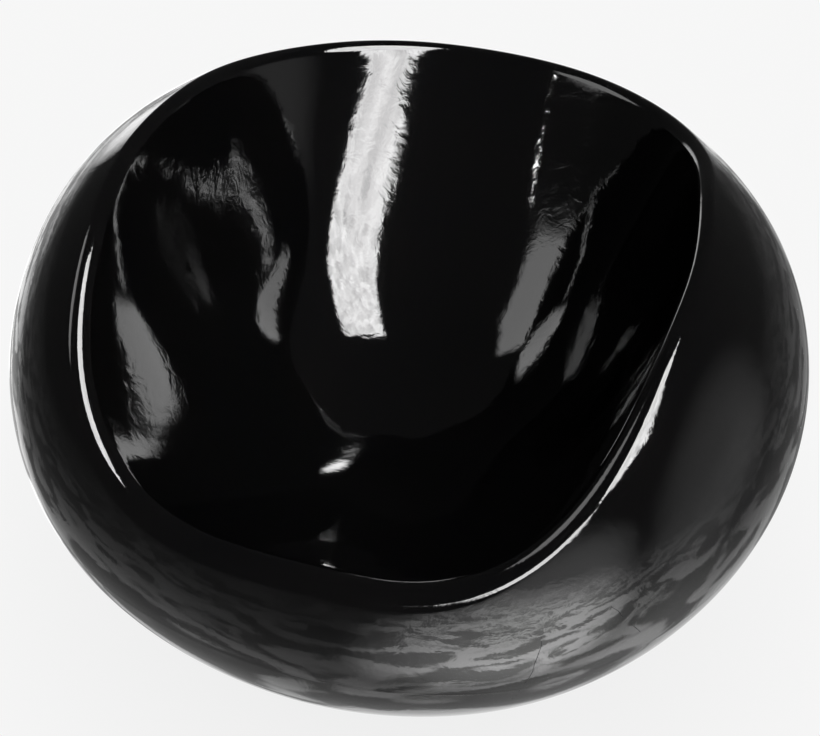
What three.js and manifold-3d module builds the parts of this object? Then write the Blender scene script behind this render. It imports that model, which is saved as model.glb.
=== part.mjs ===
// Rocking lounge chair: a flattened-sphere body moulded in two glass-fibre halves, with a smooth seat hollow,
// a rolled rim, a laminated joint inside the seam and a cross of two slotted plywood ribs under the seat.
// Millimetres, +Z up, the sitter looks along -Y, the floor is z = 0.
import * as THREE from "three";
import { mergeVertices } from "three/addons/utils/BufferGeometryUtils.js";
import Module from "manifold-3d";

// ---------- driving dimensions ----------
const BODY_RADIUS = 460; // half the width of the body at its widest
const BODY_FLATNESS = 0.66; // half height of the full spheroid over its radius
const TILT_DEG = 6; // the body leans forward about X when it stands empty
const FLAT_DEPTH = 4.1; // height trimmed off the underside where it stands
const SHELL = 5.5; // laminate thickness
const GAP = 0.3; // bond line or running gap between neighbouring pieces
const SEAM = 3.0; // height of the filled seam at the widest line
const RING_THICK = 4.5; // laminated joint ring inside the seam
const RING_HALF_HEIGHT = 34;
const BASE_DOUBLER_THICK = 9;
const BASE_DOUBLER_RADIUS = 190;
const SEAT_DOUBLER_THICK = 4.5;
const SEAT_DOUBLER_RINGS = 5; // how many of the hollow's section steps it covers
const RIB_THICK = 15;
const RIB_HALF_SPAN = 235;
const RIB_FORWARD = 52; // the crossing rib stands this far forward of the middle

// Plan radius of the rim crest about the middle, over the body radius, as a cosine series (0 = back).
const CREST = [0.7955, -0.0127, 0.1468, -0.0202, -0.012, 0.0066, -0.0078, 0.0071];
// How far the outside swells (+) or is drawn in (-) just below the rim, as a cosine series.
const SWELL = [0.0187, -0.0042, -0.0349, 0.0224];
const SWELL_REACH = 0.35;
// Roll radius of the rim, wall angle at the rim, wall handle and floor curvature, as cosine series.
const ROLL = [0.031, -0.0051, 0.0067, -0.0025, -0.0002];
const WALL_DEG = [62.5, 3, -17.5];
const WALL_HANDLE = [0.4075, 0.125, 0.0675];
const FLOOR_CURVE = [1.35, 0, 0.05];
const FLOOR_HEIGHT = -0.27; // of the middle of the hollow, from the middle of the spheroid
const FLOOR_SLOPE = 0.0; // of the middle of the hollow toward the back

// ---------- mesh density ----------
const AROUND = 54;
const HOLLOW_STEPS = 14;
const ROLL_STEPS = 5;
const OUTER_STEPS = 16;

const C = BODY_FLATNESS;
const tilt = THREE.MathUtils.degToRad(TILT_DEG);
const standHeight =
  BODY_RADIUS * Math.hypot(Math.sin(tilt), C * Math.cos(tilt)) - FLAT_DEPTH;

const series = (k, phi) =>
  k.reduce((sum, value, i) => sum + value * Math.cos(i * phi), 0);

// Outside of the body in one upright section: polar angle al from the middle, in body radii.
function outside(al, phi, crestAl) {
  const r = 1 / Math.hypot(Math.cos(al), Math.sin(al) / C);
  const swell =
    1 + series(SWELL, phi) * Math.exp(-(((crestAl - al) / SWELL_REACH) ** 2));
  return [r * swell * Math.cos(al), r * swell * Math.sin(al)];
}

// One upright section, from the middle of the hollow over the rim to the underside: [radius, height] in body radii.
function section(phi) {
  const crestR = series(CREST, phi);
  const crestAl = Math.atan2(C * Math.sqrt(1 - crestR * crestR), crestR);
  const t = outside(crestAl, phi, crestAl);
  const a = outside(crestAl + 1e-4, phi, crestAl),
    b = outside(crestAl - 1e-4, phi, crestAl);
  const dir = [b[0] - a[0], b[1] - a[1]];
  const len = Math.hypot(dir[0], dir[1]);
  const normal = [-dir[1] / len, dir[0] / len];
  const roll = series(ROLL, phi);
  const centre = [t[0] - roll * normal[0], t[1] - roll * normal[1]];
  const outerAngle = Math.atan2(normal[1], normal[0]);
  const beta = THREE.MathUtils.degToRad(series(WALL_DEG, phi));
  const innerAngle = Math.PI / 2 + beta;
  const w = [
    centre[0] + roll * Math.cos(innerAngle),
    centre[1] + roll * Math.sin(innerAngle),
  ];
  const handle = series(WALL_HANDLE, phi);
  const p2 = [w[0] - handle * Math.cos(beta), w[1] - handle * Math.sin(beta)];
  const slope = FLOOR_SLOPE * Math.cos(phi);
  const unit = Math.hypot(1, slope);
  const e = [1 / unit, slope / unit];
  const lift = e[0] * (p2[1] - FLOOR_HEIGHT) - e[1] * p2[0];
  const k0 = Math.sqrt((2 * lift) / (3 * series(FLOOR_CURVE, phi)));
  const p0 = [0, FLOOR_HEIGHT];
  const p1 = [k0 * e[0], FLOOR_HEIGHT + k0 * e[1]];
  const hollow = new THREE.CubicBezierCurve(
    ...[p0, p1, p2, w].map(([x, y]) => new THREE.Vector2(x, y)),
  );
  const rim = new THREE.EllipseCurve(
    ...centre,
    roll,
    roll,
    innerAngle,
    outerAngle,
    true,
  );
  const out = [
    ...hollow.getPoints(HOLLOW_STEPS),
    ...rim.getPoints(ROLL_STEPS).slice(1),
  ].map(({ x, y }) => [x, y]);
  // even steps of the ellipse's own angle keep the facets even
  const crestEl = Math.acos(crestR);
  for (let i = 1; i <= OUTER_STEPS; i++) {
    const el = crestEl + ((-Math.PI / 2 - crestEl) * i) / OUTER_STEPS;
    const al = Math.atan2(C * Math.sin(el), Math.cos(el));
    out.push(outside(al, phi, crestAl));
  }
  return out;
}

// Rings of skin points and their outward normals in the body's own frame (x right, y back, z along the body axis), mm.
const LAST = HOLLOW_STEPS + ROLL_STEPS + OUTER_STEPS;
const skin = [];
for (let i = 0; i < AROUND; i++) {
  const phi = (2 * Math.PI * i) / AROUND;
  skin.push(
    section(phi).map(
      ([r, h]) =>
        new THREE.Vector3(
          BODY_RADIUS * r * Math.sin(phi),
          BODY_RADIUS * r * Math.cos(phi),
          BODY_RADIUS * h,
        ),
    ),
  );
}
const normals = skin.map((line, i) =>
  line.map((p, j) => {
    if (j === 0)
      return new THREE.Vector3(0, -FLOOR_SLOPE, 1).normalize();
    if (j === LAST) return new THREE.Vector3(0, 0, -1);
    const along = new THREE.Vector3().subVectors(line[j + 1], line[j - 1]);
    const round = new THREE.Vector3().subVectors(
      skin[(i + 1) % AROUND][j],
      skin[(i + AROUND - 1) % AROUND][j],
    );
    return new THREE.Vector3().crossVectors(round, along).normalize().negate();
  }),
);
{
  // The normals point away from the laminate, so up in the hollow and down under the body.
  const probe = normals[0][2];
  if (probe.z < 0) for (const line of normals) for (let j = 1; j < LAST; j++) line[j].negate();
}

const wasm = await Module();
wasm.setup();
const { Manifold, Mesh } = wasm;

// A closed three.js geometry as a solid that can be cut and joined.
function solidOf(geometry) {
  geometry.deleteAttribute("normal");
  geometry.deleteAttribute("uv");
  const merged = mergeVertices(geometry, 1e-4);
  return new Manifold(
    new Mesh({
      numProp: 3,
      vertProperties: new Float32Array(merged.attributes.position.array),
      triVerts: new Uint32Array(merged.index.array),
    }),
  );
}
const solid = (points, faces) =>
  solidOf(new THREE.BufferGeometry().setFromPoints(points).setIndex(faces.flat()));
const block = (x, y, z, cx, cy, cz) =>
  solidOf(new THREE.BoxGeometry(x, y, z).translate(cx, cy, cz));

// A closed solid from the skin lines j0..j1 moved in by d; both ends close on one point.
function fromSkin(j0, j1, d) {
  const points = [],
    faces = [];
  const at = (i, j) =>
    skin[i][j].clone().addScaledVector(normals[i][j], -d);
  const rings = [];
  for (let j = j0; j <= j1; j++) {
    if (j === 0 || j === LAST) {
      points.push(at(0, j));
      rings.push([points.length - 1]);
      continue;
    }
    const ring = [];
    for (let i = 0; i < AROUND; i++) {
      points.push(at(i, j));
      ring.push(points.length - 1);
    }
    rings.push(ring);
  }
  // an open end is closed flat on the mean of its ring
  for (const end of [0, rings.length - 1])
    if (rings[end].length > 1) {
      const mid = new THREE.Vector3();
      for (const k of rings[end]) mid.add(points[k]);
      points.push(mid.divideScalar(AROUND));
      if (end === 0) rings.unshift([points.length - 1]);
      else rings.push([points.length - 1]);
    }
  for (let j = 0; j + 1 < rings.length; j++) {
    const a = rings[j],
      b = rings[j + 1];
    for (let i = 0; i < AROUND; i++) {
      const n = (i + 1) % AROUND;
      if (a.length === 1) faces.push([a[0], b[n], b[i]]);
      else if (b.length === 1) faces.push([a[i], a[n], b[0]]);
      else {
        faces.push([a[i], a[n], b[i]]);
        faces.push([a[n], b[n], b[i]]);
      }
    }
  }
  const made = solid(points, faces);
  return made.volume() < 0
    ? solid(points, faces.map(([x, y, z]) => [x, z, y]))
    : made;
}

// Body frame to the room: lean forward, stand on the floor, centre the whole on the origin.
let centreY = 0;
const toFloor = (m) =>
  m.rotate([TILT_DEG, 0, 0]).translate([0, centreY, standHeight]);
{
  const reach = toFloor(fromSkin(0, LAST, 0)).boundingBox();
  centreY = -(reach.min[1] + reach.max[1]) / 2;
}
const aboveFloor = (m, z) => m.trimByPlane([0, 0, 1], z);
const slab = (z0, z1) => block(1400, 1400, z1 - z0, 0, 0, (z0 + z1) / 2);

// Whole body and its cavity, standing on the floor.
const whole = (d) => toFloor(fromSkin(0, LAST, d));
const outerSkin = aboveFloor(whole(0), 0);
const cavity = aboveFloor(whole(SHELL), SHELL);
const laminate = outerSkin.subtract(cavity);

// The halves meet at the widest line, on a plane across the body axis. The hollow reaches below that plane and
// belongs to the seat moulding whole.
const hollowZone = toFloor(fromSkin(0, HOLLOW_STEPS, 20));
const belowSeam = (h) => toFloor(slab(-700, h)).subtract(hollowZone);
const seatMoulding = laminate.subtract(belowSeam(SEAM / 2));
const baseMoulding = laminate.intersect(belowSeam(-SEAM / 2));
const seamBand = toFloor(slab(-SEAM / 2 + GAP, SEAM / 2 - GAP)).subtract(
  hollowZone,
);
const seamFiller = laminate.intersect(seamBand);

// Outside only, moved in by d, used inside the seam and on the bottom.
const RIM_END = HOLLOW_STEPS + ROLL_STEPS + 1;
const outerOnly = (d) => toFloor(fromSkin(RIM_END, LAST, d));
const jointRing = outerOnly(SHELL + GAP)
  .subtract(outerOnly(SHELL + GAP + RING_THICK))
  .intersect(toFloor(slab(-RING_HALF_HEIGHT, RING_HALF_HEIGHT)));

// Contact point with the floor, forward of the middle of the body.
const contactY =
  centreY +
  (-(BODY_RADIUS ** 2) * (1 - C * C) * Math.sin(tilt) * Math.cos(tilt)) /
  (standHeight + FLAT_DEPTH);

function baseDoublerSolid(grow) {
  const d0 = SHELL + GAP - grow,
    d1 = SHELL + GAP + BASE_DOUBLER_THICK + grow;
  const low = aboveFloor(outerOnly(d0), d0);
  const high = aboveFloor(outerOnly(d1), d1);
  const r = BASE_DOUBLER_RADIUS + grow;
  const drum = solidOf(
    new THREE.CylinderGeometry(r, r, 200, 64)
      .rotateX(Math.PI / 2)
      .translate(0, contactY, 80),
  );
  return low.subtract(high).intersect(drum);
}

// Laminated patch under the middle of the hollow.
function seatDoublerSolid(grow) {
  const d0 = SHELL + GAP - grow,
    d1 = SHELL + GAP + SEAT_DOUBLER_THICK + grow;
  const points = [],
    faces = [];
  const layers = [d0, d1].map((d) => {
    points.push(skin[0][0].clone().addScaledVector(normals[0][0], -d));
    const pole = points.length - 1;
    const rings = [];
    for (let k = 1; k <= SEAT_DOUBLER_RINGS; k++) {
      const ring = [];
      for (let i = 0; i < AROUND; i++) {
        const p = skin[i][k].clone(),
          n = normals[i][k];
        if (k === SEAT_DOUBLER_RINGS && grow > 0)
          p.addScaledVector(
            new THREE.Vector3().subVectors(skin[i][k + 1], p).normalize(),
            grow,
          );
        points.push(p.addScaledVector(n, -d));
        ring.push(points.length - 1);
      }
      rings.push(ring);
    }
    return { pole, rings };
  });
  const [top, low] = layers;
  for (let i = 0; i < AROUND; i++) {
    const n = (i + 1) % AROUND;
    faces.push([top.pole, top.rings[0][i], top.rings[0][n]]);
    faces.push([low.pole, low.rings[0][n], low.rings[0][i]]);
    for (let k = 0; k < SEAT_DOUBLER_RINGS - 1; k++) {
      const a = top.rings[k],
        b = top.rings[k + 1];
      faces.push([a[i], b[i], a[n]], [a[n], b[i], b[n]]);
      const c = low.rings[k],
        e = low.rings[k + 1];
      faces.push([c[i], c[n], e[i]], [c[n], e[n], e[i]]);
    }
    const a = top.rings[SEAT_DOUBLER_RINGS - 1],
      b = low.rings[SEAT_DOUBLER_RINGS - 1];
    faces.push([a[i], b[i], a[n]], [a[n], b[i], b[n]]);
  }
  let made = solid(points, faces);
  if (made.volume() < 0)
    made = solid(points, faces.map(([x, y, z]) => [x, z, y]));
  return toFloor(made);
}

const baseDoubler = baseDoublerSolid(0);
const seatDoubler = seatDoublerSolid(0);
const keepOut = baseDoublerSolid(GAP).add(seatDoublerSolid(GAP));

// Two plywood ribs slotted together stand between the doublers, one along the chair and one across it.
const ribSpace = aboveFloor(whole(SHELL + GAP), SHELL + GAP).subtract(keepOut);
function rib(along) {
  const size = along
    ? [RIB_THICK, 2 * RIB_HALF_SPAN, 800]
    : [2 * RIB_HALF_SPAN, RIB_THICK, 800];
  return ribSpace.intersect(
    block(...size, 0, centreY - RIB_FORWARD, standHeight),
  );
}
const lowestPiece = (m) =>
  m.decompose().sort((a, b) => b.volume() - a.volume())[0];
const crossZ = 96; // height where the two slots meet
const slot = (z0, z1) =>
  block(
    RIB_THICK + 2 * GAP,
    RIB_THICK + 2 * GAP,
    z1 - z0,
    0,
    centreY - RIB_FORWARD,
    (z0 + z1) / 2,
  );
const longRib = lowestPiece(rib(true).subtract(slot(crossZ - GAP / 2, 700)));
const crossRib = lowestPiece(rib(false).subtract(slot(-50, crossZ + GAP / 2)));

// ---------- materials ----------
const black = (roughness) =>
  new THREE.MeshStandardMaterial({ color: 0x070708, roughness, metalness: 0 });
const laminateFinish = new THREE.MeshStandardMaterial({
  color: 0x9a9a72,
  roughness: 0.6,
  metalness: 0,
});
const plywood = new THREE.MeshStandardMaterial({
  color: 0xb98f5f,
  roughness: 0.75,
  metalness: 0,
});

// The pieces hang in one group whose origin is the middle of the spheroid.
const group = new THREE.Group();
const body = new THREE.Group();
body.position.set(0, centreY, standHeight);
group.add(body);
function add(name, manifold, material) {
  const mesh = manifold.getMesh();
  const n = mesh.numProp;
  const position = new Float32Array((mesh.vertProperties.length / n) * 3);
  for (let i = 0; i < position.length / 3; i++)
    for (let k = 0; k < 3; k++)
      position[3 * i + k] =
        mesh.vertProperties[n * i + k] - body.position.getComponent(k);
  const geometry = new THREE.BufferGeometry();
  geometry.setAttribute("position", new THREE.BufferAttribute(position, 3));
  geometry.setIndex(new THREE.BufferAttribute(new Uint32Array(mesh.triVerts), 1));
  geometry.computeVertexNormals();
  const node = new THREE.Mesh(geometry, material.clone());
  node.name = name;
  body.add(node);
}

add("seat_moulding", seatMoulding, black(0.06));
add("base_moulding", baseMoulding, black(0.08));
add("seam_filler", seamFiller, black(0.12));
add("joint_ring", jointRing, laminateFinish);
add("seat_doubler", seatDoubler, laminateFinish);
add("base_doubler", baseDoubler, laminateFinish);
add("long_rib", longRib, plywood);
add("cross_rib", crossRib, plywood);

export default group;
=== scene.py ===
"""Rocking lounge chair: the smooth gelcoat skins, their finish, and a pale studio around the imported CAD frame."""
import math

import bmesh
import bpy
import numpy as np
from mathutils import Matrix, Vector


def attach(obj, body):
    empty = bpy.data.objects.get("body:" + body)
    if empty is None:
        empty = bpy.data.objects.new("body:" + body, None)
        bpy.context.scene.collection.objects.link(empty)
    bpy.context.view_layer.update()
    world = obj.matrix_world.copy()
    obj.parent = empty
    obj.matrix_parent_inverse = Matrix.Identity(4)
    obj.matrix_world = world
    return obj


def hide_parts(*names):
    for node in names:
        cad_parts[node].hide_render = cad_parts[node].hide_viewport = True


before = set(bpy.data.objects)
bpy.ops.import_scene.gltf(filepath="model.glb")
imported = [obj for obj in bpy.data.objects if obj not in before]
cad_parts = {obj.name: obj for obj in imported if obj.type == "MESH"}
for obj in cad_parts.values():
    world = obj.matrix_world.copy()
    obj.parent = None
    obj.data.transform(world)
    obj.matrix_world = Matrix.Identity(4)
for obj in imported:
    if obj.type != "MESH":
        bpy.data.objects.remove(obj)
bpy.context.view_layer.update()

# ---------- the same section formulas as the CAD, in metres ----------
A = 0.460
C = 0.66
TILT = math.radians(6.0)
FLAT = 0.0041
SHELL = 0.0055
SEAM = 0.0030
CENTRE_Y = -0.005866
STAND = A * math.hypot(math.sin(TILT), C * math.cos(TILT)) - FLAT

CREST = [0.7955, -0.0127, 0.1468, -0.0202, -0.012, 0.0066, -0.0078, 0.0071]
SWELL = [0.0187, -0.0042, -0.0349, 0.0224]
SWELL_REACH = 0.35
ROLL = [0.031, -0.0051, 0.0067, -0.0025, -0.0002]
WALL_DEG = [62.5, 3.0, -17.5]
WALL_HANDLE = [0.4075, 0.125, 0.0675]
FLOOR_CURVE = [1.35, 0.0, 0.05]
FLOOR_HEIGHT = -0.27
FLOOR_SLOPE = 0.0


def series(k, phi):
    return sum(v * np.cos(i * phi) for i, v in enumerate(k))


def outside(al, phi, crest_al):
    r = 1 / np.hypot(np.cos(al), np.sin(al) / C)
    swell = 1 + series(SWELL, phi) * np.exp(-(((crest_al - al) / SWELL_REACH) ** 2))
    return r * swell * np.cos(al), r * swell * np.sin(al)


def section(phi, n_hollow, n_roll, n_outer):
    """(radius, height) points of one upright section, from the middle of the hollow to the underside."""
    cr = series(CREST, phi)
    ca = math.atan2(C * math.sqrt(1 - cr * cr), cr)
    t = outside(ca, phi, ca)
    a, b = outside(ca + 1e-4, phi, ca), outside(ca - 1e-4, phi, ca)
    dx, dy = b[0] - a[0], b[1] - a[1]
    ln = math.hypot(dx, dy)
    nx, ny = -dy / ln, dx / ln
    roll = series(ROLL, phi)
    kx, ky = t[0] - roll * nx, t[1] - roll * ny
    out_a = math.atan2(ny, nx)
    beta = math.radians(series(WALL_DEG, phi))
    in_a = math.pi / 2 + beta
    w = (kx + roll * math.cos(in_a), ky + roll * math.sin(in_a))
    h = series(WALL_HANDLE, phi)
    p2 = (w[0] - h * math.cos(beta), w[1] - h * math.sin(beta))
    slope = FLOOR_SLOPE * math.cos(phi)
    un = math.hypot(1, slope)
    e = (1 / un, slope / un)
    lift = e[0] * (p2[1] - FLOOR_HEIGHT) - e[1] * p2[0]
    k0 = math.sqrt((2 * lift) / (3 * series(FLOOR_CURVE, phi)))
    p0 = (0.0, FLOOR_HEIGHT)
    p1 = (k0 * e[0], FLOOR_HEIGHT + k0 * e[1])
    s = np.linspace(0, 1, n_hollow + 1)
    q = 1 - s
    hx = q**3 * p0[0] + 3 * q * q * s * p1[0] + 3 * q * s * s * p2[0] + s**3 * w[0]
    hy = q**3 * p0[1] + 3 * q * q * s * p1[1] + 3 * q * s * s * p2[1] + s**3 * w[1]
    ang = in_a + (out_a - in_a) * np.arange(1, n_roll + 1) / n_roll
    rx, ry = kx + roll * np.cos(ang), ky + roll * np.sin(ang)
    el0 = math.acos(cr)
    el = el0 + (-math.pi / 2 - el0) * np.arange(1, n_outer + 1) / n_outer
    al = np.arctan2(C * np.sin(el), np.cos(el))
    ox, oy = outside(al, phi, ca)
    return np.stack([np.r_[hx, rx, ox], np.r_[hy, ry, oy]], 1)


def skin(around, n_hollow, n_roll, n_outer):
    """Points (around, rings, 3) of the skin in the body's own frame, metres, and outward unit normals."""
    phis = 2 * np.pi * np.arange(around) / around
    pts = np.zeros((around, n_hollow + n_roll + n_outer + 1, 3))
    for i, phi in enumerate(phis):
        sec = section(phi, n_hollow, n_roll, n_outer)
        pts[i, :, 0] = A * sec[:, 0] * math.sin(phi)
        pts[i, :, 1] = A * sec[:, 0] * math.cos(phi)
        pts[i, :, 2] = A * sec[:, 1]
    rnd = np.roll(pts, -1, 0) - np.roll(pts, 1, 0)
    alg = np.zeros_like(pts)
    alg[:, 1:-1] = pts[:, 2:] - pts[:, :-2]
    nrm = np.cross(alg, rnd)
    nrm[:, 0] = (0, -FLOOR_SLOPE, 1)
    nrm[:, -1] = (0, 0, -1)
    nrm /= np.linalg.norm(nrm, axis=2, keepdims=True)
    if nrm[0, 2, 2] < 0:
        nrm[:, 1:-1] *= -1
    return pts, nrm


def to_room(p):
    c, s = math.cos(TILT), math.sin(TILT)
    out = np.empty_like(p)
    out[..., 0] = p[..., 0]
    out[..., 1] = p[..., 1] * c - p[..., 2] * s + CENTRE_Y
    out[..., 2] = p[..., 1] * s + p[..., 2] * c + STAND
    return out


AROUND, N_HOLLOW, N_ROLL, N_OUTER = (288, 72, 18, 84)
PTS, NRM = skin(AROUND, N_HOLLOW, N_ROLL, N_OUTER)


def ring_at(height, depth, first):
    """Skin points, moved in by depth, where the body-frame height is crossed below ring `first`; one per section."""
    p = PTS - NRM * depth
    out = np.zeros((AROUND, 3))
    for i in range(AROUND):
        z = p[i, first:, 2]
        j = int(np.argmax(z < height))
        a, b = p[i, first + j - 1], p[i, first + j]
        t = (a[2] - height) / (a[2] - b[2])
        out[i] = a + (b - a) * t
    return out


def mesh_from_rings(name, rings, flat=None):
    """A mesh from a list of rings (around, 3); a ring of shape (3,) is a pole. The last ring joins the first when both are rings."""
    verts, ids = [], []
    for r in rings:
        if r.ndim == 1:
            ids.append([len(verts)])
            verts.append(r)
        else:
            ids.append(list(range(len(verts), len(verts) + len(r))))
            verts.extend(r)
    v = to_room(np.array(verts))
    if flat is not None:
        for k, level in flat:
            for idx in ids[k[0] : k[1]]:
                v[idx, 2] = np.maximum(v[idx, 2], level)
    faces = []
    pairs = list(zip(ids[:-1], ids[1:]))
    if len(ids[0]) > 1 and len(ids[-1]) > 1:
        pairs.append((ids[-1], ids[0]))
    for a, b in pairs:
        n = max(len(a), len(b))
        for i in range(n):
            j = (i + 1) % n
            if len(a) == 1:
                faces.append((a[0], b[i], b[j]))
            elif len(b) == 1:
                faces.append((a[i], b[0], a[j]))
            else:
                faces.append((a[i], b[i], b[j], a[j]))
    me = bpy.data.meshes.new(name)
    me.from_pydata([tuple(p) for p in v], [], faces)
    bm = bmesh.new()
    bm.from_mesh(me)
    bmesh.ops.recalc_face_normals(bm, faces=bm.faces)
    for e in bm.edges:
        e.smooth = e.calc_face_angle(0.0) < math.radians(25)
    bm.to_mesh(me)
    bm.free()
    for poly in me.polygons:
        poly.use_smooth = True
    me.validate()
    ob = bpy.data.objects.new(name, me)
    bpy.context.scene.collection.objects.link(ob)
    return ob


FIRST_OUT = N_HOLLOW + N_ROLL + 1
LAST = N_HOLLOW + N_ROLL + N_OUTER


def rings_between(j0, j1, depth, lo=None, hi=None):
    """Whole rings j0..j1 moved in by depth, kept only where every point lies above lo or below hi (body frame)."""
    out = []
    for j in range(j0, j1 + 1):
        r = PTS[:, j] - NRM[:, j] * depth
        if lo is not None and r[:, 2].min() <= lo:
            continue
        if hi is not None and r[:, 2].max() >= hi:
            continue
        out.append(r[0] if j in (0, LAST) else r)
    return out


def blended_rings(top_ring, edge_ring, n):
    return [top_ring + (edge_ring - top_ring) * (k / n) for k in range(1, n)]


# The rings of constant section step don't lie on constant heights, so the outside is resampled by height near the seam.
def outer_rings(z_from, z_to, n, depth):
    """n+1 rings at body-frame heights from z_from to z_to on the outside."""
    return [ring_at(z, depth, N_HOLLOW + N_ROLL) for z in np.linspace(z_from, z_to, n + 1)]


# ---------- seat moulding ----------
half = SEAM / 2
gap = 0.00002


def outer_from_crest(depth, z_end, n):
    """Rings from the rim's end down to a level edge: each section is resampled evenly between its own start and the edge."""
    p = PTS - NRM * depth
    rings = np.zeros((n + 1, AROUND, 3))
    for i in range(AROUND):
        line = p[i, N_HOLLOW + N_ROLL :]
        j = int(np.argmax(line[:, 2] < z_end))
        t = (line[j - 1, 2] - z_end) / (line[j - 1, 2] - line[j, 2])
        end = line[j - 1] + (line[j] - line[j - 1]) * t
        part = np.vstack([line[:j], end])
        d = np.r_[0, np.cumsum(np.linalg.norm(np.diff(part, axis=0), axis=1))]
        s = np.linspace(0, d[-1], n + 1)
        rings[:, i] = np.stack([np.interp(s, d, part[:, k]) for k in range(3)], 1)
    return [rings[k] for k in range(n + 1)]


def lower_from_edge(depth, z_start, n):
    """Rings from a level edge down to the underside pole."""
    p = PTS - NRM * depth
    rings = np.zeros((n + 1, AROUND, 3))
    for i in range(AROUND):
        line = p[i, N_HOLLOW + N_ROLL :]
        j = int(np.argmax(line[:, 2] < z_start))
        t = (line[j - 1, 2] - z_start) / (line[j - 1, 2] - line[j, 2])
        start = line[j - 1] + (line[j] - line[j - 1]) * t
        part = np.vstack([start, line[j:]])
        d = np.r_[0, np.cumsum(np.linalg.norm(np.diff(part, axis=0), axis=1))]
        s = np.linspace(0, d[-1], n + 1)
        rings[:, i] = np.stack([np.interp(s, d, part[:, k]) for k in range(3)], 1)
    out = [rings[k] for k in range(n)]
    out.append(rings[n].mean(0))
    return out


def hollow_rings(depth, step=1):
    out = [PTS[0, 0] - NRM[0, 0] * depth]
    for j in range(step, N_HOLLOW + N_ROLL, step):
        out.append(PTS[:, j] - NRM[:, j] * depth)
    return out


EDGE = 0.00003  # the edges at the seam are rubbed flush
top_skin = hollow_rings(0.0) + outer_from_crest(0.0, half + gap + EDGE, 44)
edge_out = ring_at(half + gap, EDGE, N_HOLLOW + N_ROLL)
edge_in = ring_at(half + gap, SHELL - EDGE, N_HOLLOW + N_ROLL)
under = outer_from_crest(SHELL, half + gap + EDGE, 22)[::-1] + hollow_rings(SHELL, 2)[::-1]
seat = mesh_from_rings("seat_shell_skin", top_skin + [edge_out, edge_in] + under)

# ---------- base moulding ----------
bottom_out = lower_from_edge(0.0, -half - gap - EDGE, 60)
bottom_in = lower_from_edge(SHELL, -half - gap - EDGE, 30)
b_edge_out = ring_at(-half - gap, EDGE, N_HOLLOW + N_ROLL)
b_edge_in = ring_at(-half - gap, SHELL - EDGE, N_HOLLOW + N_ROLL)
base_rings = bottom_in[::-1] + [b_edge_in, b_edge_out] + bottom_out
n_in = len(bottom_in)
base = mesh_from_rings(
    "base_shell_skin", base_rings, flat=[((0, n_in), SHELL), ((n_in + 2, len(base_rings)), 0.0)]
)

# ---------- flush filled seam ----------
f_out = outer_rings(half - gap - 0.0002, -half + gap + 0.0002, 4, 0.0)
f_in = outer_rings(-half + gap, half - gap, 4, SHELL)
filler = mesh_from_rings("seam_fill", f_out + f_in)

for ob, node, slot in (
    (seat, "seat_moulding", "seat_gelcoat"),
    (base, "base_moulding", "base_gelcoat"),
    (filler, "seam_filler", "seam_filler"),
):
    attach(ob, "root")
    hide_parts(node)


# ---------- hairline cracks in the coat ----------
# skin points and outward normals along each crack, metres
CRACKS = (
    (
        (0.2329, -0.3904, 0.3508, 0.389, -0.866, 0.315),
        (0.2338, -0.3926, 0.3431, 0.398, -0.873, 0.282),
        (0.2343, -0.3949, 0.3348, 0.407, -0.88, 0.246),
        (0.2361, -0.3964, 0.3257, 0.42, -0.884, 0.204),
        (0.2352, -0.3983, 0.3187, 0.424, -0.889, 0.172),
        (0.2344, -0.4002, 0.3102, 0.429, -0.894, 0.134),
        (0.2332, -0.4018, 0.3017, 0.432, -0.897, 0.096),
        (0.2329, -0.4028, 0.2901, 0.44, -0.897, 0.04),
        (0.2309, -0.404, 0.2802, 0.441, -0.898, -0.005),
        (0.228, -0.4051, 0.2712, 0.439, -0.897, -0.048),
        (0.2246, -0.4056, 0.2579, 0.411, -0.874, 0.26),
        (0.2223, -0.405, 0.2467, 0.437, -0.885, -0.163),
        (0.2194, -0.4047, 0.2381, 0.433, -0.878, -0.203),
        (0.2159, -0.4019, 0.222, 0.429, -0.859, -0.279),
    ),
    (
        (0.3115, -0.347, 0.3225, 0.66, -0.741, 0.124),
        (0.3165, -0.3436, 0.3144, 0.679, -0.73, 0.085),
        (0.3219, -0.3393, 0.3042, 0.697, -0.716, 0.039),
        (0.3318, -0.3281, 0.2751, 0.725, -0.683, -0.09),
        (0.3382, -0.309, 0.2324, 0.729, -0.626, -0.278),
    ),
    (
        (0.2893, -0.3566, 0.3544, 0.566, -0.776, 0.279),
        (0.2969, -0.3535, 0.3464, 0.599, -0.765, 0.237),
        (0.3023, -0.3519, 0.337, 0.623, -0.758, 0.193),
    ),
)


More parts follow.
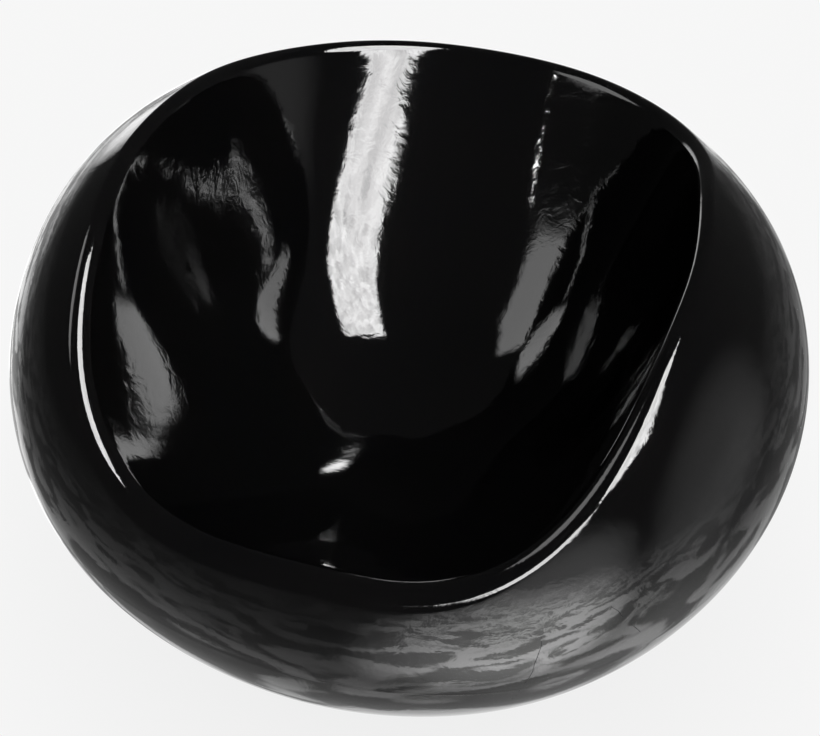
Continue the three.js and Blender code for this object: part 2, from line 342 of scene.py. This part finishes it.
def crack(name, line, radius=0.00042, sunk=0.00012):
    """A closed thin tube that lies in the skin, tapered to its ends."""
    verts, faces, sides = [], [], 6
    pts = [Vector(p[:3]) - Vector(p[3:]) * sunk for p in line]
    nor = [Vector(p[3:]).normalized() for p in line]
    for i, p in enumerate(pts):
        along = (pts[min(i + 1, len(pts) - 1)] - pts[max(i - 1, 0)]).normalized()
        side = along.cross(nor[i]).normalized()
        upw = side.cross(along)
        r = radius * (0.25 + 0.75 * math.sin(math.pi * (i + 0.6) / (len(pts) + 0.2)) ** 0.6)
        for k in range(sides):
            a = 2 * math.pi * k / sides
            verts.append(p + side * (r * math.cos(a)) + upw * (r * 0.6 * math.sin(a)))
    for i in range(len(pts) - 1):
        for k in range(sides):
            m = (k + 1) % sides
            faces.append((i * sides + k, i * sides + m, (i + 1) * sides + m, (i + 1) * sides + k))
    faces.append(tuple(range(sides))[::-1])
    faces.append(tuple((len(pts) - 1) * sides + k for k in range(sides)))
    me = bpy.data.meshes.new(name)
    me.from_pydata([tuple(v) for v in verts], [], faces)
    bm = bmesh.new()
    bm.from_mesh(me)
    bmesh.ops.recalc_face_normals(bm, faces=bm.faces)
    bm.to_mesh(me)
    bm.free()
    ob = bpy.data.objects.new(name, me)
    bpy.context.scene.collection.objects.link(ob)
    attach(ob, "root")
    return ob


cracks = [crack("coat_crack_%d" % (i + 1), line) for i, line in enumerate(CRACKS)]


# ---------- materials ----------
class Graph:
    def __init__(self, name):
        self.mat = bpy.data.materials.new(name)
        self.mat.use_nodes = True
        self.t = self.mat.node_tree
        self.t.nodes.clear()
        self.out = self.t.nodes.new("ShaderNodeOutputMaterial")
        self.bsdf = self.t.nodes.new("ShaderNodeBsdfPrincipled")
        self.t.links.new(self.bsdf.outputs[0], self.out.inputs[0])

    def node(self, kind, **props):
        n = self.t.nodes.new(kind)
        for k, v in props.items():
            setattr(n, k, v)
        return n

    def link(self, a, b):
        self.t.links.new(a, b)

    def coords(self):
        return self.node("ShaderNodeTexCoord").outputs["Object"]

    def noise(self, scale, detail=4, rough=0.5, vec=None, distortion=0.0):
        n = self.node("ShaderNodeTexNoise")
        n.inputs["Scale"].default_value = scale
        n.inputs["Detail"].default_value = detail
        n.inputs["Roughness"].default_value = rough
        n.inputs["Distortion"].default_value = distortion
        self.link(vec or self.coords(), n.inputs["Vector"])
        return n.outputs["Fac"]

    def ramp(self, fac, stops):
        n = self.node("ShaderNodeValToRGB")
        el = n.color_ramp.elements
        while len(el) < len(stops):
            el.new(0.5)
        for e, (pos, col) in zip(el, stops):
            e.position = pos
            e.color = (*col, 1) if len(col) == 3 else col
        self.link(fac, n.inputs[0])
        return n.outputs[0]

    def math(self, op, a, b):
        n = self.node("ShaderNodeMath", operation=op)
        for i, v in enumerate((a, b)):
            if isinstance(v, (int, float)):
                n.inputs[i].default_value = v
            else:
                self.link(v, n.inputs[i])
        return n.outputs[0]


def gelcoat(name, rough=0.045, scuff=0.5, peel=0.02):
    g = Graph(name)
    b = g.bsdf
    b.inputs["IOR"].default_value = 1.5
    # deep black pigment with a trace of brown where the coat is thin
    pigment = g.ramp(g.noise(7, 3), [(0.35, (0.0006, 0.0006, 0.0007)), (0.75, (0.0010, 0.0009, 0.0009))])
    cells = g.node("ShaderNodeTexVoronoi")
    cells.inputs["Scale"].default_value = 26.0
    g.link(g.coords(), cells.inputs["Vector"])
    pick = g.node("ShaderNodeSeparateColor")
    g.link(cells.outputs["Color"], pick.inputs[0])
    size = g.math("MULTIPLY", pick.outputs[1], 0.022 * scuff)
    dot = g.math("MULTIPLY", g.math("LESS_THAN", cells.outputs["Distance"], size), g.math("GREATER_THAN", pick.outputs[0], 0.72))
    dust = g.node("ShaderNodeMix", data_type="RGBA")
    g.link(dot, dust.inputs[0])
    g.link(pigment, dust.inputs[6])
    dust.inputs[7].default_value = (0.22, 0.21, 0.20, 1)
    g.link(dust.outputs[2], b.inputs["Base Color"])
    # polish: mostly mirror, with wiped patches and fine specks
    wiped = g.noise(5.5, 6, 0.62, distortion=0.4)
    specks = g.noise(260, 2, 0.5)
    r = g.math("ADD", g.math("MULTIPLY", g.ramp(wiped, [(0.45, (0, 0, 0)), (0.8, (1, 1, 1))]), 0.03 * scuff), rough)
    r = g.math("ADD", r, g.math("MULTIPLY", g.ramp(specks, [(0.72, (0, 0, 0)), (0.78, (1, 1, 1))]), 0.18 * scuff))
    g.link(r, b.inputs["Roughness"])
    # hand-laid laminate under the coat shows as slow waves, and the polish as very fine peel
    waves = g.noise(8, 2, 0.45)
    ripple = g.noise(42, 3, 0.55, distortion=0.8)
    peeln = g.noise(170, 3, 0.5)
    h = g.math("ADD", waves, g.math("ADD", g.math("MULTIPLY", ripple, 0.20), g.math("MULTIPLY", peeln, 0.022)))
    bump = g.node("ShaderNodeBump")
    bump.inputs["Strength"].default_value = 1.0
    bump.inputs["Distance"].default_value = peel * 0.05
    g.link(h, bump.inputs["Height"])
    g.link(bump.outputs[0], b.inputs["Normal"])
    return g.mat


def laminate(name, tint):
    g = Graph(name)
    b = g.bsdf
    v = g.node("ShaderNodeTexVoronoi", feature="DISTANCE_TO_EDGE")
    v.inputs["Scale"].default_value = 90
    g.link(g.coords(), v.inputs["Vector"])
    mix = g.math("ADD", g.math("MULTIPLY", v.outputs[0], 1.6), g.math("MULTIPLY", g.noise(30, 5), 0.6))
    g.link(g.ramp(mix, [(0.2, tuple(t * 0.55 for t in tint)), (0.8, tint)]), b.inputs["Base Color"])
    g.link(g.ramp(g.noise(40, 4), [(0.3, (0.35,) * 3), (0.8, (0.7,) * 3)]), b.inputs["Roughness"])
    bump = g.node("ShaderNodeBump")
    bump.inputs["Strength"].default_value = 0.5
    bump.inputs["Distance"].default_value = 0.0006
    g.link(mix, bump.inputs["Height"])
    g.link(bump.outputs[0], b.inputs["Normal"])
    return g.mat


def plywood(name):
    g = Graph(name)
    b = g.bsdf
    m = g.node("ShaderNodeMapping")
    m.inputs["Scale"].default_value = (1.0, 1.0, 9.0)
    g.link(g.coords(), m.inputs["Vector"])
    grain = g.noise(18, 8, 0.6, m.outputs[0], 1.2)
    g.link(g.ramp(grain, [(0.3, (0.36, 0.20, 0.09)), (0.6, (0.55, 0.35, 0.18)), (0.8, (0.63, 0.43, 0.24))]), b.inputs["Base Color"])
    g.link(g.ramp(grain, [(0.3, (0.8,) * 3), (0.8, (0.6,) * 3)]), b.inputs["Roughness"])
    bump = g.node("ShaderNodeBump")
    bump.inputs["Strength"].default_value = 0.4
    bump.inputs["Distance"].default_value = 0.0004
    g.link(grain, bump.inputs["Height"])
    g.link(bump.outputs[0], b.inputs["Normal"])
    return g.mat


def give(ob, mat):
    ob.data.materials.clear()
    ob.data.materials.append(mat)


give(seat, gelcoat("gelcoat_seat"))
give(base, gelcoat("gelcoat_base", 0.06, 0.8))
give(filler, gelcoat("filler_black", 0.05, 0.6))
for ob in cracks:
    cg = Graph("crack_edge_" + ob.name)
    cg.link(cg.ramp(cg.noise(300, 3), [(0.3, (0.001, 0.001, 0.001)), (0.8, (0.006, 0.006, 0.006))]), cg.bsdf.inputs["Base Color"])
    cg.bsdf.inputs["Roughness"].default_value = 0.85
    cg.bsdf.inputs["Specular IOR Level"].default_value = 0.05
    give(ob, cg.mat)
for node in ("joint_ring", "seat_doubler", "base_doubler"):
    give(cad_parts[node], laminate("laminate_" + node, (0.42, 0.43, 0.25)))
for node in ("long_rib", "cross_rib"):
    give(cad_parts[node], plywood("plywood_" + node))

# ---------- studio ----------
floor = bpy.data.objects.new("studio_floor", bpy.data.meshes.new("studio_floor"))
floor.data.from_pydata([(-12, -12, -0.0005), (12, -12, -0.0005), (12, 12, -0.0005), (-12, 12, -0.0005)], [], [(0, 1, 2, 3)])
bpy.context.scene.collection.objects.link(floor)
fm = bpy.data.materials.new("floor_pale_painted_shadow")
fm.use_nodes = True
ft = fm.node_tree
ft.nodes.clear()
f_out = ft.nodes.new("ShaderNodeOutputMaterial")
f_em = ft.nodes.new("ShaderNodeEmission")
# painted shadow: the pale floor's glow is dimmed by ambient occlusion close to the chair, a contact shadow painted into
# the floor and not cast by a lamp
painted_shadow_ao = ft.nodes.new("ShaderNodeAmbientOcclusion")
painted_shadow_ao.inputs["Distance"].default_value = 0.28
painted_shadow_ao.samples = 8
painted_shadow_range = ft.nodes.new("ShaderNodeMapRange")
painted_shadow_range.inputs["To Min"].default_value = 0.82
painted_shadow_range.inputs["To Max"].default_value = 0.925
ft.links.new(painted_shadow_ao.outputs["AO"], painted_shadow_range.inputs["Value"])
ft.links.new(painted_shadow_range.outputs[0], f_em.inputs["Strength"])
ft.links.new(f_em.outputs[0], f_out.inputs[0])
give(floor, fm)
floor.visible_glossy = False
floor.visible_diffuse = False
floor.visible_shadow = False

# The light comes from around the chair: one tall bright softbox in front on the +X side that bends overhead, a dim one
# on the other side, small lamps, a dim ceiling and a floor that gets lighter toward the feet.
world = bpy.data.worlds.new("studio")
bpy.context.scene.world = world
world.use_nodes = True
wt = world.node_tree
wt.nodes.clear()


def w_node(kind, **props):
    n = wt.nodes.new(kind)
    for k, v in props.items():
        setattr(n, k, v)
    return n


def w_math(op, *args):
    n = w_node("ShaderNodeMath", operation=op)
    for i, v in enumerate(args):
        if isinstance(v, (int, float)):
            n.inputs[i].default_value = v
        else:
            wt.links.new(v, n.inputs[i])
    return n.outputs[0]


def w_dot(v):
    n = w_node("ShaderNodeVectorMath", operation="DOT_PRODUCT")
    wt.links.new(look, n.inputs[0])
    n.inputs[1].default_value = tuple(v)
    return n.outputs["Value"]


def w_step(x, lo, hi, to=1.0):
    n = w_node("ShaderNodeMapRange", interpolation_type="SMOOTHSTEP")
    n.inputs["From Min"].default_value = lo
    n.inputs["From Max"].default_value = hi
    n.inputs["To Max"].default_value = to
    wt.links.new(x, n.inputs["Value"])
    return n.outputs[0]


def heading(az, el):
    """Unit vector; az 0 looks along -Y and grows toward +X, in degrees."""
    a, e = math.radians(az), math.radians(el)
    return Vector((math.cos(e) * math.sin(a), -math.cos(e) * math.cos(a), math.sin(e)))


def card(corners, soft):
    """1 inside a convex set of directions, 0 outside."""
    mid = sum(corners, Vector()).normalized()
    mask = None
    for k, c in enumerate(corners):
        n = c.cross(corners[(k + 1) % len(corners)]).normalized()
        if n.dot(mid) < 0:
            n.negate()
        edge = w_step(w_dot(n), -soft, soft)
        mask = edge if mask is None else w_math("MULTIPLY", mask, edge)
    return mask


def lobe(az, el, inner, outer):
    return w_step(w_dot(heading(az, el)), math.cos(math.radians(outer)), math.cos(math.radians(inner)))


look = w_node("ShaderNodeTexCoord").outputs["Generated"]
w_xyz = w_node("ShaderNodeSeparateXYZ")
wt.links.new(look, w_xyz.inputs[0])
up = w_xyz.outputs[2]

# the softboxes' cloth lets a little more light through in some places
w_cloth = w_node("ShaderNodeTexNoise")
w_cloth.inputs["Scale"].default_value = 16.0
w_cloth.inputs["Detail"].default_value = 4.0
wt.links.new(look, w_cloth.inputs["Vector"])
w_weave = w_math("ADD", w_math("MULTIPLY", w_cloth.outputs["Fac"], 1.7), 0.15)

glow = []
# tall softbox: corners on a level plane one unit up, so (x, y) is where it would stand on a ceiling
TALL = [
    (1.50, -0.95), (1.46, -0.50), (1.24, -0.12), (0.88, 0.075), (0.50, 0.22), (0.139, 0.006),
    (0.46, -0.604), (0.62, -0.87), (0.85, -1.02), (1.25, -1.18), (1.48, -1.10),
]
glow.append(w_math("MULTIPLY", card([Vector((x, y, 1)).normalized() for x, y in TALL], 0.016), w_math("MULTIPLY", w_weave, 21.0)))
# the same box's foot, low and to the front
FOOT = [(1.42, -1.36), (2.00, -2.20), (1.87, -3.00), (0.80, -3.40), (0.10, -1.65), (0.58, -1.28)]
glow.append(w_math("MULTIPLY", card([Vector((x, y, 1)).normalized() for x, y in FOOT], 0.03), 20.0))
SIDE = [(-2.30, -0.70), (-1.33, -0.79), (-1.07, -0.66), (-0.75, -0.25), (-0.88, 0.17), (-1.80, 0.35), (-2.45, -0.20)]
glow.append(w_math("MULTIPLY", card([Vector((x, y, 1)).normalized() for x, y in SIDE], 0.03), 3.4))
for az, el, inner, outer, level in (
    (42, -5, 1, 26, 1.2),
    (95, -2, 5, 30, 0.42),
    (-139, -4, 2, 12, 3.0),
    (-54.5, 33.5, 0.15, 0.5, 90.0),
):
    glow.append(w_math("MULTIPLY", lobe(az, el, inner, outer), level))
# where the softboxes' light lies on the floor
pool = []
for az, el, inner, outer, level in (
    (34, -30, 3, 34, 4.6),
    (62, -42, 5, 40, 0.9),
    (-135, -32, 10, 30, 1.1),
    (-172, -20, 8, 26, 1.0),
):
    pool.append(w_math("MULTIPLY", lobe(az, el, inner, outer), level))
total = 0.07
for gl in glow:
    total = w_math("ADD", gl, total)

# what a reflection inside another reflection meets: a narrow overhead box with a thin bright edge
echo = 0.10
for corners, soft, level in (
    ([(-0.14, -0.46), (0.0, -0.52), (0.28, -0.40), (0.38, -0.22), (0.26, -0.15), (0.10, -0.18)], 0.014, 56.0),
    ([(1.24, -0.600), (1.24, -0.570), (0.64, -0.590), (0.64, -0.618)], 0.007, 55.0),
    ([(0.66, -0.620), (0.66, -0.588), (0.38, -0.562), (0.38, -0.600)], 0.007, 55.0),
    ([(0.40, -0.602), (0.40, -0.566), (0.20, -0.470), (0.18, -0.500)], 0.007, 55.0),
):
    mask = card([Vector((x, y, 1)).normalized() for x, y in corners], soft)
    echo = w_math("ADD", w_math("MULTIPLY", mask, level), echo)
echo = w_math("ADD", w_math("MULTIPLY", lobe(158.0, 67.0, 1.0, 3.2), 150.0), echo)
# floor: dark far away, lighter below, with soft mottling in place
down = w_math("MAXIMUM", w_math("MULTIPLY", up, -1.0), 0.02)
w_proj = w_node("ShaderNodeVectorMath", operation="SCALE")
wt.links.new(look, w_proj.inputs[0])
wt.links.new(w_math("DIVIDE", 1.0, down), w_proj.inputs["Scale"])
w_noise = w_node("ShaderNodeTexNoise")
w_noise.inputs["Scale"].default_value = 2.1
w_noise.inputs["Detail"].default_value = 1.5
w_noise.inputs["Distortion"].default_value = 1.4
wt.links.new(w_proj.outputs[0], w_noise.inputs["Vector"])
mottle = w_step(w_noise.outputs["Fac"], 0.44, 0.56)
below = w_math("ADD", w_math("MULTIPLY", w_math("POWER", down, 2.2), 0.95), w_math("MULTIPLY", w_step(up, 0.0, -0.15), 0.06))
for pl in pool:
    below = w_math("ADD", below, pl)
below = w_math("MULTIPLY", below, w_math("ADD", w_math("MULTIPLY", mottle, 0.85), 0.45))
total = w_math("ADD", total, w_math("MULTIPLY", below, w_step(up, 0.0, -0.02)))
lp = w_node("ShaderNodeLightPath")
later = w_math("GREATER_THAN", lp.outputs["Glossy Depth"], 1.5)
total = w_math("ADD", w_math("MULTIPLY", echo, later), w_math("MULTIPLY", total, w_math("SUBTRACT", 1.0, later)))

bg_room = w_node("ShaderNodeBackground")
wt.links.new(total, bg_room.inputs["Strength"])
bg_pale = w_node("ShaderNodeBackground")
bg_pale.inputs[0].default_value = (0.925, 0.925, 0.925, 1)
mix = w_node("ShaderNodeMixShader")
wt.links.new(lp.outputs["Is Camera Ray"], mix.inputs[0])
wt.links.new(bg_room.outputs[0], mix.inputs[1])
wt.links.new(bg_pale.outputs[0], mix.inputs[2])
w_out = w_node("ShaderNodeOutputWorld")
wt.links.new(mix.outputs[0], w_out.inputs[0])
world.cycles.sampling_method = "NONE"

# ---------- camera ----------
CAM = dict(th=41.866, psi=15.817, roll=0.585, f=1144.11, cx=410.75, cy=334.99, dist=3.0)


def camera():
    th, psi, roll = (math.radians(CAM[k]) for k in ("th", "psi", "roll"))
    d = Vector((math.sin(th) * math.sin(psi), -math.sin(th) * math.cos(psi), math.cos(th)))
    fwd = -d
    right = fwd.cross(Vector((0, 0, 1))).normalized()
    up = right.cross(fwd)
    r_cam = math.cos(roll) * right + math.sin(roll) * up
    u_cam = -math.sin(roll) * right + math.cos(roll) * up
    lean = Matrix.Rotation(TILT, 3, "X")
    pos = lean @ (d * CAM["dist"] * A) + Vector((0, CENTRE_Y, STAND))
    rot = Matrix((lean @ r_cam, lean @ u_cam, lean @ d)).transposed()
    cam = bpy.data.cameras.new("camera")
    cam.sensor_width = 36.0
    cam.lens = CAM["f"] * 36.0 / 820.0
    cam.shift_x = (410.0 - CAM["cx"]) / 820.0
    cam.shift_y = (CAM["cy"] - 368.0) / 820.0
    ob = bpy.data.objects.new("camera", cam)
    ob.matrix_world = Matrix.Translation(pos) @ rot.to_4x4()
    bpy.context.scene.collection.objects.link(ob)
    bpy.context.scene.camera = ob
    return ob


cam = camera()


sc = bpy.context.scene
sc.view_settings.view_transform = "Standard"
sc.view_settings.look = "None"
